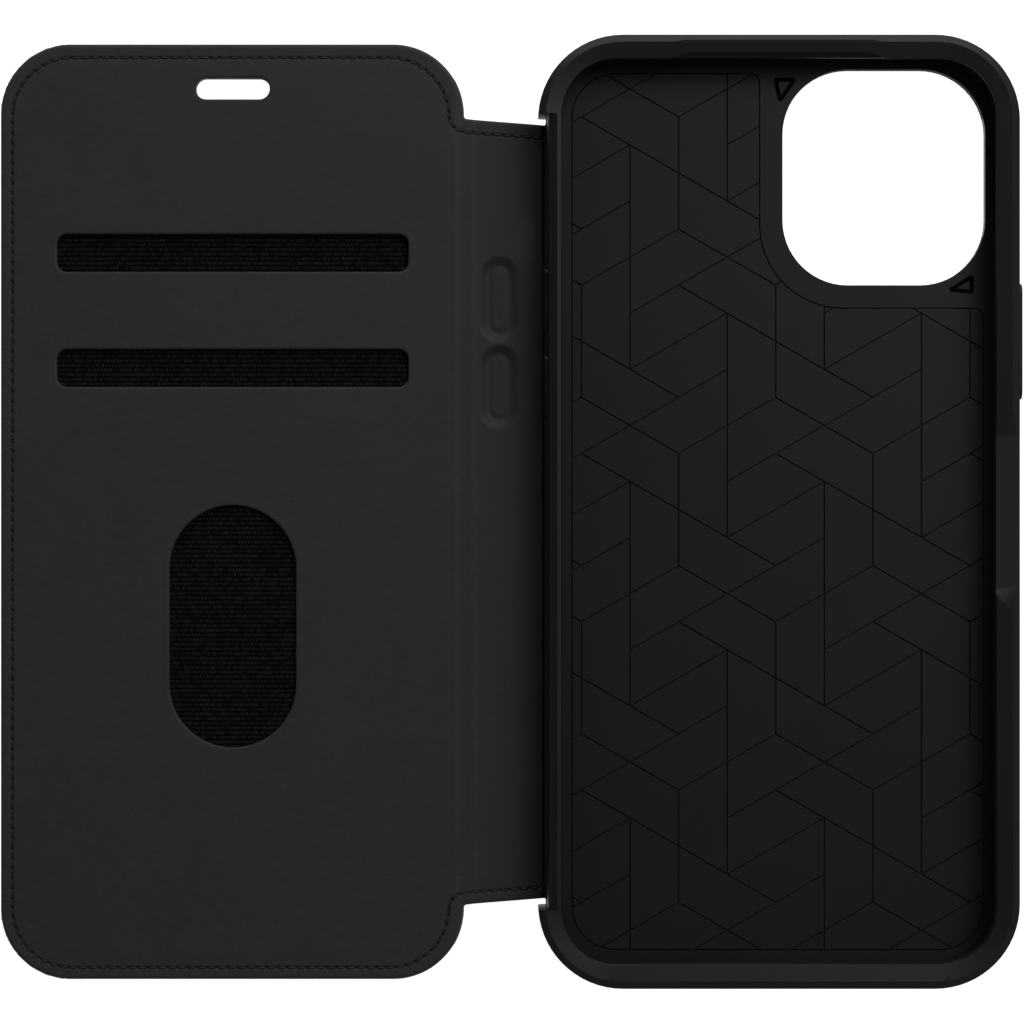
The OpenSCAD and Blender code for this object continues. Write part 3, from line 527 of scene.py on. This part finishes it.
def cover_wrap(material):
    """The outer leather of the cover with its turned edge, and the left half of the spine."""
    outline = resample(cover_and_spine(0, SEAM_X), 0.5)
    slot = resample(rounded_window(EAR_SLOT), 0.4)
    seeds = np.concatenate([
        grid((COVER_LEFT, -COVER_HALF), (SEAM_X, COVER_HALF), 1.6),
        fold_seeds(FALL_START - 0.3, FALL_END + 0.3, spine_edge(COVER_FOLD)),
        beside(outline, WRAP_RINGS, 0.45),
        beside(slot, SLOT_RINGS, 0.35),
        track_seeds(),
    ])
    cover_only = rounded_path(mirrored([
        (COVER_FOLD - 0.5, COVER_HALF, COVER_CORNER),
        (COVER_LEFT, COVER_HALF, COVER_CORNER),
    ]))

    def top(points):
        edge = distance_to(points, [cover_only])
        rim = inside(points, cover_only) & (edge < TURNED_EDGE)
        down = fall(points)
        flat = np.where(down > 0, COVER_BASE + (SPINE_SKIN - COVER_BASE) * down, COVER_SKIN)
        height = np.where(rim, COVER_BASE, flat)
        height -= rolled(distance_to(points, [outline]), TURNED_EDGE_ROUND, TURNED_EDGE_DROP)
        return np.where(down < 1, height, np.minimum(height, below_tracks(points)))

    def bottom(points):
        drop = OUTER_EDGE_DROP * from_seam(points) + COVER_EDGE_EXTRA_DROP * (fall(points) < 0.5)
        return rolled(distance_to(points, [outline]), OUTER_EDGE_ROUND, drop)

    wrap = closed_sheet("cover_outer_wrap", [outline, slot], seeds, top, bottom, material)
    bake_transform(wrap)
    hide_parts("cover_outer_leather")


def back_wrap(material):
    """The leather on the back of the tray, and the right half of the spine."""
    panel_left = TRAY_FOLD + 0.3
    panel_half = PANEL_HIGH[1]
    outline = rounded_path(mirrored([
        (PANEL_HIGH[0], panel_half, PANEL_CORNER),
        (panel_left, panel_half, PANEL_CORNER - 0.4),
        (panel_left, spine_edge(panel_left), 0.3),
        (SEAM_X, spine_edge(SEAM_X), 0),
    ]))
    outline = resample(outline[::-1], 0.5)
    camera_x, camera_y = SHELL_X + CAMERA_CENTRE[0], CAMERA_CENTRE[1]
    half_x, half_y = CAMERA_SIZE[0] / 2, CAMERA_SIZE[1] / 2
    camera = resample(rounded_box(camera_x, camera_y, half_x, half_y, CAMERA_CORNER), 0.4)
    seeds = np.concatenate([
        grid((SEAM_X, -panel_half), (PANEL_HIGH[0], panel_half), 1.6),
        fold_seeds(TRAY_FOLD - 1.3, TRAY_FOLD + 1.1, spine_edge(TRAY_FOLD)),
        beside(outline, PANEL_RINGS, 0.5),
        beside(camera, PANEL_RINGS, 0.4),
        track_seeds(),
    ])

    def top(points):
        past_fold = smooth((points[:, 0] - TRAY_FOLD - 0.5) / 0.3)
        height = SPINE_SKIN + (PANEL_THICKNESS - SPINE_SKIN) * past_fold
        return np.minimum(height, below_tracks(points))

    def bottom(points):
        edge = distance_to(points, [outline, camera])
        return rolled(edge, PANEL_EDGE_ROUND, PANEL_EDGE_DROP * from_seam(points))

    wrap = closed_sheet("back_wrap", [outline, camera], seeds, top, bottom, material)
    start, end = fold_point(TRAY_FOLD + 0.5), fold_point(TRAY_FOLD - 0.9)
    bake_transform(wrap)
    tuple(start)
    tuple(end)
    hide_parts("back_leather", "spine_outer_leather")


def fabric_sheet(name, low, high, sewn, body, node, material):
    """A stretched fabric layer; where it is sewn down its edge rises to the leather above."""
    sides = [(0, 0), (1, 0), (1, 1), (0, 1)]
    outline = resample(rounded_path([
        (low[0] + i * (high[0] - low[0]), low[1] + j * (high[1] - low[1]), FABRIC_CORNER)
        for i, j in sides
    ]), 0.8)
    base = BACKING_HIGH[2] + FABRIC_SLACK if sewn else BACKING_LOW[2]
    edge_rows = beside(outline, [0.3, 0.6, 0.9, 1.3], 0.8)
    seeds = np.concatenate([grid(low[:2], high[:2], 1.4), edge_rows])

    def lift(points):
        sag = FABRIC_SAG * np.sin(points[:, 0] * 0.31) * np.sin(points[:, 1] * 0.23 + 0.6)
        if not sewn:
            return sag
        below_top = smooth((high[1] - 0.5 - points[:, 1]) / 1.0)
        x_edge = np.minimum(points[:, 0] - low[0], high[0] - points[:, 0])
        edge = np.minimum(x_edge, points[:, 1] - low[1])
        rise = COVER_BASE - FABRIC_THICKNESS - base - 0.02
        return sag + below_top * rise * smooth(1 - edge / FABRIC_SEAM)

    cloth = closed_sheet(
        name, [outline], seeds,
        lambda points: base + FABRIC_THICKNESS + lift(points),
        lambda points: base + lift(points),
        material,
    )
    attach(cloth, body)
    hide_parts(node)


def thread_stitches():
    """Every stitch along the path, as (centre x, centre y, vertices, faces)."""
    samples, run = measured(stitch_path())
    rings, sides = 11, 10

    def point_at(distance):
        return np.array([np.interp(distance, run, samples[:, k]) for k in (0, 1)])

    stitches = []
    for number in range(int(run[-1] / STITCH_PITCH)):
        middle = (number + 0.5) * STITCH_PITCH
        vertices = []
        for k in range(rings):
            t = 2 * k / (rings - 1) - 1
            place = middle + t * STITCH_LENGTH / 2
            here = point_at(place)
            ahead = unit(point_at(place + 0.1) - point_at(place - 0.1))
            across = np.array((-ahead[1], ahead[0]))
            centre = here + across * THREAD_SLANT * t
            down = fall(here[None])[0]
            surface = COVER_TOP + (SPINE_TOP - COVER_TOP) * down
            height = surface - THREAD_DEPTH + THREAD_ARCH * (1 - abs(t) ** 3.5)
            radius = THREAD_RADIUS * math.sqrt(max(1 - abs(t) ** 5, 0.12))
            for s in range(sides):
                angle = 2 * math.pi * s / sides
                swell = 1 + 0.1 * math.cos(2 * angle + 5.5 * t)
                out = across * radius * swell * math.cos(angle)
                vertices.append((*(centre + out), height + radius * swell * math.sin(angle)))
        faces = []
        for k in range(rings - 1):
            for s in range(sides):
                near, far, turn = k * sides, (k + 1) * sides, (s + 1) % sides
                faces.append((near + s, near + turn, far + turn, far + s))
        faces.append(list(range(sides))[::-1])
        faces.append([(rings - 1) * sides + s for s in range(sides)])
        stitches.append((*point_at(middle), vertices, faces))
    return stitches


def stitching(material):
    """Three runs of stitches: round the cover and its fold, and along both ends of the spine."""
    groups = {"cover_stitches": [], "spine_stitches_upper": [], "spine_stitches_lower": []}
    for x, y, vertices, faces in thread_stitches():
        if x < FALL_END + STITCH_LENGTH / 2:
            groups["cover_stitches"].append((vertices, faces))
        elif y > 0:
            groups["spine_stitches_upper"].append((vertices, faces))
        else:
            groups["spine_stitches_lower"].append((vertices, faces))
    for name, parts in groups.items():
        vertices, faces = [], []
        for some_vertices, some_faces in parts:
            first = len(vertices)
            vertices += some_vertices
            faces += [[first + i for i in face] for face in some_faces]
        run = new_object(name, vertices, faces, material, sharp=60)
        if name == "cover_stitches":
            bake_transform(run)
            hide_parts("cover_stitching")
        else:
            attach(run, "spine")
            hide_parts(name.replace("stitches", "stitching"))


# ---- materials ----

class Nodes:
    """A short way to build a material's nodes."""

    def __init__(self, name, base, roughness, specular=0.5, metallic=0.0):
        self.material = bpy.data.materials.new(name)
        self.material.use_nodes = True
        self.material.diffuse_color = (*base, 1)
        self.tree = self.material.node_tree
        self.shader = self.tree.nodes["Principled BSDF"]
        self.set("Base Color", (*base, 1))
        self.set("Roughness", roughness)
        self.set("Specular IOR Level", specular)
        self.set("Metallic", metallic)

    def set(self, socket, value):
        self.shader.inputs[socket].default_value = value

    def link(self, output, socket):
        self.tree.links.new(output, socket)

    def add(self, kind, inputs=None, **settings):
        node = self.tree.nodes.new(kind)
        for name, value in settings.items():
            setattr(node, name, value)
        for key, value in (inputs or {}).items():
            if isinstance(value, bpy.types.NodeSocket):
                self.link(value, node.inputs[key])
            else:
                node.inputs[key].default_value = value
        return node

    def math(self, operation, a, b=0.0, clamp=False):
        node = self.add("ShaderNodeMath", {0: a, 1: b}, operation=operation, use_clamp=clamp)
        return node.outputs[0]

    def place(self, stored):
        """Places on the piece in millimetres; when stored, read from the rest place kept in its
        mesh.
        """
        if stored:
            return self.add("ShaderNodeAttribute", attribute_name="rest_place").outputs["Vector"]
        coordinates = self.add("ShaderNodeTexCoord").outputs["Object"]
        return self.scaled(coordinates, 1 / MM)

    def scaled(self, vector, scale):
        inputs = {0: vector, "Scale": scale}
        return self.add("ShaderNodeVectorMath", inputs, operation="SCALE").outputs[0]

    def stretched(self, place, scale, angle=0.0):
        rotation = (0, 0, math.radians(angle))
        turned = self.add("ShaderNodeMapping", {"Vector": place, "Rotation": rotation}).outputs[0]
        return self.add("ShaderNodeMapping", {"Vector": turned, "Scale": scale}).outputs[0]

    def noise(self, place, scale, detail=3.0, roughness=0.5, distortion=0.0):
        inputs = {
            "Vector": place, "Scale": scale, "Detail": detail,
            "Roughness": roughness, "Distortion": distortion,
        }
        return self.add("ShaderNodeTexNoise", inputs).outputs["Fac"]

    def cells(self, place, scale):
        node = self.add("ShaderNodeTexVoronoi", {"Vector": place, "Scale": scale})
        return node.outputs["Distance"]

    def ramp(self, factor, low, high, dark, light):
        """A colour from dark to light as factor goes from low to high."""
        node = self.add("ShaderNodeMapRange", {"Value": factor, "From Min": low, "From Max": high})
        mix = self.add("ShaderNodeMix", data_type="RGBA")
        self.link(node.outputs[0], mix.inputs[0])
        mix.inputs[6].default_value = (*dark, 1)
        mix.inputs[7].default_value = (*light, 1)
        return mix.outputs[2]

    def span(self, factor, low, high, to_low, to_high):
        inputs = {
            "Value": factor, "From Min": low, "From Max": high,
            "To Min": to_low, "To Max": to_high,
        }
        return self.add("ShaderNodeMapRange", inputs).outputs[0]

    def colour_from(self, output):
        self.link(output, self.shader.inputs["Base Color"])

    def roughness_from(self, output):
        self.link(output, self.shader.inputs["Roughness"])

    def bump_from(self, height, depth_mm, strength=1.0):
        inputs = {"Height": height, "Distance": depth_mm * MM, "Strength": strength}
        bump = self.add("ShaderNodeBump", inputs)
        self.link(bump.outputs[0], self.shader.inputs["Normal"])


def grey(value):
    return (value, value, value * 1.02)


def leather_material(name, tone):
    """Fine matt leather with short faint fibres, small pores and soft clouds of tone."""
    m = Nodes(name, grey(tone), 0.62, specular=0.2)
    place = m.place(stored=True)
    fibres = m.noise(m.stretched(place, (0.55, 2.6, 1), 14), 1.0, 4.0, 0.6, 0.6)
    crossing = m.noise(m.stretched(place, (2.4, 0.6, 1), 24), 1.0, 3.0, 0.6, 0.4)
    clouds = m.noise(place, 0.09, 2.0)
    pores = m.cells(place, 3.4)
    fine = m.noise(place, 5.0, 2.0)
    hair = m.math("ADD", m.math("MULTIPLY", fibres, 0.65), m.math("MULTIPLY", crossing, 0.35))
    shade = m.math("ADD", m.math("MULTIPLY", hair, 0.8), m.math("MULTIPLY", clouds, 0.2))
    m.colour_from(m.ramp(shade, 0.4, 0.6, grey(tone * 0.9), grey(tone * 1.1)))
    m.roughness_from(m.span(hair, 0.3, 0.7, 0.56, 0.68))
    height = m.math("ADD", m.math("MULTIPLY", hair, 0.6), m.math("MULTIPLY", pores, 0.3))
    m.bump_from(m.math("ADD", height, m.math("MULTIPLY", fine, 0.15)), 0.05, 0.7)
    return m.material


def plastic_material(name, tone, roughness, pocket=None):
    """Satin moulded plastic, rougher where it is engraved, with painted shade that darkens the
    colour more the deeper it lies below the engraved floor.

    pocket is the engraved floor, as (centre x, half width, half length, height).
    """
    m = Nodes(name, grey(tone), roughness, specular=PLASTIC_SPECULAR)
    place = m.place(stored=False)
    skin = m.noise(place, 4.5, 3.0, 0.6)
    clouds = m.noise(place, 0.07, 2.0)
    colour = m.ramp(clouds, 0.35, 0.65, grey(tone * 0.95), grey(tone * 1.05))
    polish = m.span(skin, 0.3, 0.7, roughness - 0.03, roughness + 0.04)
    if pocket:
        centre, half_x, half_y, floor = pocket
        x, y, z = m.add("ShaderNodeSeparateXYZ", {0: place}).outputs
        within_x = m.math("LESS_THAN", m.math("ABSOLUTE", m.math("SUBTRACT", x, centre)), half_x)
        within_y = m.math("LESS_THAN", m.math("ABSOLUTE", y), half_y)
        within = m.math("MULTIPLY", within_x, within_y)
        engraved = m.math("MULTIPLY", within, m.math("LESS_THAN", z, floor))
        # painted shade: below the engraved floor the colour is darkened, to 60% just under it and
        # to 5% from 1.3 mm height down, in the grooves and recesses; the roughness also rises
        # there
        groove_shade_and_dullness = m.math("MULTIPLY", engraved, m.span(z, 1.3, 2.1, 0.95, 0.4))
        colour = m.scaled(colour, m.math("SUBTRACT", 1.0, groove_shade_and_dullness))
        polish = m.math("ADD", polish, m.math("MULTIPLY", groove_shade_and_dullness, 0.6), clamp=True)
    m.colour_from(colour)
    m.roughness_from(polish)
    m.bump_from(skin, 0.01, 0.5)
    return m.material


def fabric_material(name, tone):
    """Plain weave: weft rows, with the warp showing as small dots that shift from row to row."""
    m = Nodes(name, grey(tone), 0.75, specular=0.04)
    place = m.place(stored=True)
    wobble = m.noise(place, 0.6, 2.0)
    axes = m.add("ShaderNodeSeparateXYZ", {0: place}).outputs
    rows = m.math("ADD", m.math("DIVIDE", axes[1], WEFT_PITCH), m.math("MULTIPLY", wobble, 0.12))
    row = m.math("FLOOR", rows)
    odd = m.math("MULTIPLY", m.math("MODULO", row, 2.0), 0.5)
    columns = m.math("ADD", m.math("DIVIDE", axes[0], WARP_PITCH), odd)

    def arches(count):
        return m.math("ABSOLUTE", m.math("SINE", m.math("MULTIPLY", count, math.pi)))

    row_arch = m.math("POWER", arches(rows), 0.8)
    dots = m.math("ADD", m.math("MULTIPLY", arches(columns), 0.65), 0.35)
    height = m.math("MULTIPLY", row_arch, dots)
    cell = m.add("ShaderNodeCombineXYZ", {0: m.math("FLOOR", columns), 1: row}).outputs[0]
    chance = m.add("ShaderNodeTexWhiteNoise", {"Vector": cell}, noise_dimensions="2D").outputs[0]
    # painted highlights: the colour is lighter on the raised threads, by a random amount in each
    # cell, and painted shade darkens the hollows between them
    lit = m.math("MULTIPLY", height, m.math("ADD", m.math("MULTIPLY", chance, 0.7), 0.5))
    m.colour_from(m.ramp(lit, 0.25, 1.0, grey(tone * 0.3), grey(tone * 4.0)))
    m.roughness_from(m.span(height, 0, 1, 0.85, 0.62))
    m.bump_from(height, 0.1, 0.8)
    return m.material


def thread_material(name, tone):
    m = Nodes(name, grey(tone), 0.6, specular=0.4)
    place = m.place(stored=True)
    plies = m.noise(m.stretched(place, (9, 3, 3), 35), 1.0, 2.0)
    m.colour_from(m.ramp(plies, 0.35, 0.65, grey(tone * 0.7), grey(tone * 1.3)))
    m.roughness_from(m.span(plies, 0.3, 0.7, 0.52, 0.7))
    m.bump_from(plies, 0.03, 0.8)
    return m.material


def board_material(name, base, dark):
    """Grey board or film: short fibres pressed flat."""
    m = Nodes(name, base, 0.8, specular=0.3)
    place = m.place(stored=False)
    fibres = m.noise(m.stretched(place, (0.8, 3, 3), 20), 1.0, 5.0, 0.7)
    m.colour_from(m.ramp(fibres, 0.3, 0.7, dark, base))
    m.roughness_from(m.span(fibres, 0.3, 0.7, 0.72, 0.9))
    m.bump_from(fibres, 0.03, 0.5)
    return m.material


def magnet_material(name):
    m = Nodes(name, (0.6, 0.6, 0.62), 0.3, metallic=1.0)
    place = m.place(stored=False)
    brushed = m.noise(m.stretched(place, (6, 0.3, 6)), 1.0, 4.0)
    m.colour_from(m.ramp(brushed, 0.3, 0.7, (0.5, 0.5, 0.51), (0.66, 0.66, 0.68)))
    m.roughness_from(m.span(brushed, 0.3, 0.7, 0.24, 0.38))
    m.bump_from(brushed, 0.005, 0.4)
    return m.material


# ---- CAD nodes that stay ----

def smooth_by_angle():
    """A node group that shades a mesh smooth, with sharp edges above an angle."""
    tree = bpy.data.node_groups.new("smooth_by_angle", "GeometryNodeTree")
    tree.interface.new_socket("Geometry", in_out="INPUT", socket_type="NodeSocketGeometry")
    tree.interface.new_socket("Geometry", in_out="OUTPUT", socket_type="NodeSocketGeometry")
    source = tree.nodes.new("NodeGroupInput")
    result = tree.nodes.new("NodeGroupOutput")
    faces = tree.nodes.new("GeometryNodeSetShadeSmooth")
    faces.domain = "FACE"
    edges = tree.nodes.new("GeometryNodeSetShadeSmooth")
    edges.domain = "EDGE"
    edges.inputs["Shade Smooth"].default_value = False
    angle = tree.nodes.new("GeometryNodeInputMeshEdgeAngle")
    above = tree.nodes.new("FunctionNodeCompare")
    above.operation = "GREATER_THAN"
    above.inputs[1].default_value = math.radians(SHARP_ANGLE)
    tree.links.new(source.outputs[0], faces.inputs[0])
    tree.links.new(faces.outputs[0], edges.inputs[0])
    tree.links.new(angle.outputs[0], above.inputs[0])
    tree.links.new(above.outputs[0], edges.inputs["Selection"])
    tree.links.new(edges.outputs[0], result.inputs[0])
    return tree


def finish_node(name, material, smoothing, bevel=0.0):
    """Material and softened edges for a CAD node, by modifiers only."""
    thing = frame["nodes"][name]
    if not thing.material_slots:
        thing.data.materials.append(material)
    for slot in thing.material_slots:
        slot.link = "OBJECT"
        slot.material = material
    weld = thing.modifiers.new("weld", "WELD")
    weld.merge_threshold = WELD * MM
    flatten = thing.modifiers.new("flatten", "DECIMATE")
    flatten.decimate_type = "DISSOLVE"
    flatten.angle_limit = math.radians(FLAT_ANGLE)
    if bevel:
        soften = thing.modifiers.new("soften", "BEVEL")
        soften.width = bevel * MM
        soften.segments = 2
        soften.limit_method = "ANGLE"
        soften.angle_limit = math.radians(BEVEL_ANGLE)
        soften.harden_normals = False
        soften.use_clamp_overlap = True
    shade = thing.modifiers.new("shade", "NODES")
    shade.node_group = smoothing
    weigh = thing.modifiers.new("weigh", "WEIGHTED_NORMAL")
    weigh.keep_sharp = True


# ---- stage ----

def area_light(name, place, aim, size, energy):
    data = bpy.data.lights.new(name, "AREA")
    data.shape = "RECTANGLE"
    data.size, data.size_y = size
    data.energy = energy
    lamp = bpy.data.objects.new(name, data)
    lamp.location = place
    lamp.rotation_euler = (Vector(aim) - Vector(place)).to_track_quat("-Z", "Y").to_euler()
    bpy.context.scene.collection.objects.link(lamp)


def make_stage():
    """A white table top, soft studio lights and the camera straight above."""
    scene = bpy.context.scene
    scene.view_settings.view_transform = "Standard"
    corners = [(i * TABLE_HALF, j * TABLE_HALF, 0) for i, j in CORNERS]
    table = Nodes("table_white", (0.4, 0.4, 0.4), 0.6, specular=0.1)
    weave = table.noise(table.place(stored=False), 0.02, 2.0)
    table.colour_from(table.ramp(weave, 0.3, 0.7, (0.39, 0.39, 0.39), (0.41, 0.41, 0.41)))
    mesh = bpy.data.meshes.new("floor")
    mesh.from_pydata(corners, [], [(0, 1, 2, 3)])
    mesh.materials.append(table.material)
    floor = bpy.data.objects.new("floor", mesh)
    floor.location.z = -TABLE_GAP
    scene.collection.objects.link(floor)
    table.set("Emission Color", (1, 1, 1, 1))
    table.set("Emission Strength", 1.0)

    world = bpy.data.worlds.new("studio")
    world.use_nodes = True
    background = world.node_tree.nodes["Background"]
    background.inputs["Color"].default_value = (1, 1, 1, 1)
    background.inputs["Strength"].default_value = WORLD_STRENGTH
    scene.world = world
    area_light("key_soft", (0.42, 0.44, 0.78), (0, 0, 0), (0.6, 0.6), 4.95)
    area_light("back_strip", (0.0, 0.9, 0.27), (0, 0, 0), (1.3, 0.4), 4.2)

    data = bpy.data.cameras.new("camera")
    data.lens = VIEW_LENS
    data.sensor_width = VIEW_SENSOR
    data.clip_start, data.clip_end = 0.01, 20
    camera = bpy.data.objects.new("camera", data)
    camera.location = VIEW_PLACE
    scene.collection.objects.link(camera)
    scene.camera = camera


# ---- the whole model ----

make_stage()

inner = leather_material("inner_leather", 0.0245)
outer = leather_material("outer_leather", 0.0235)
fabric = fabric_material("fabric", 0.003)
thread = thread_material("thread", 0.006)
tray = plastic_material("tray_plastic", 0.006, 0.42, pocket=ENGRAVED_FLOOR)
button = plastic_material("button_plastic", 0.005, 0.42)
board = board_material("stiffener", (0.2, 0.19, 0.17), (0.14, 0.13, 0.12))
film = board_material("film", (0.7, 0.7, 0.66), (0.6, 0.6, 0.56))
nickel = magnet_material("magnet")

inner_leather(inner)
cover_wrap(outer)
back_wrap(outer)
fabric_sheet("backing_fabric", BACKING_LOW, BACKING_HIGH, False,
             "cover", "pocket_backing", fabric)
fabric_sheet("divider_fabric", DIVIDER_LOW, DIVIDER_HIGH, True,
             "cover", "pocket_divider", fabric)
stitching(thread)

smoothing = smooth_by_angle()
finish_node("phone_shell", tray, smoothing, bevel=0.06)
finish_node("power_button", button, smoothing, bevel=0.12)
for name in ("volume_up_button", "volume_down_button"):
    finish_node(name, button, smoothing, bevel=0.5)
for name in ("cover_board", "spine_stiffener"):
    finish_node(name, board, smoothing)
for name in ("shell_magnet_upper", "shell_magnet_lower",
             "cover_magnet_upper", "cover_magnet_lower"):
    finish_node(name, nickel, smoothing)
finish_node("back_adhesive", film, smoothing)
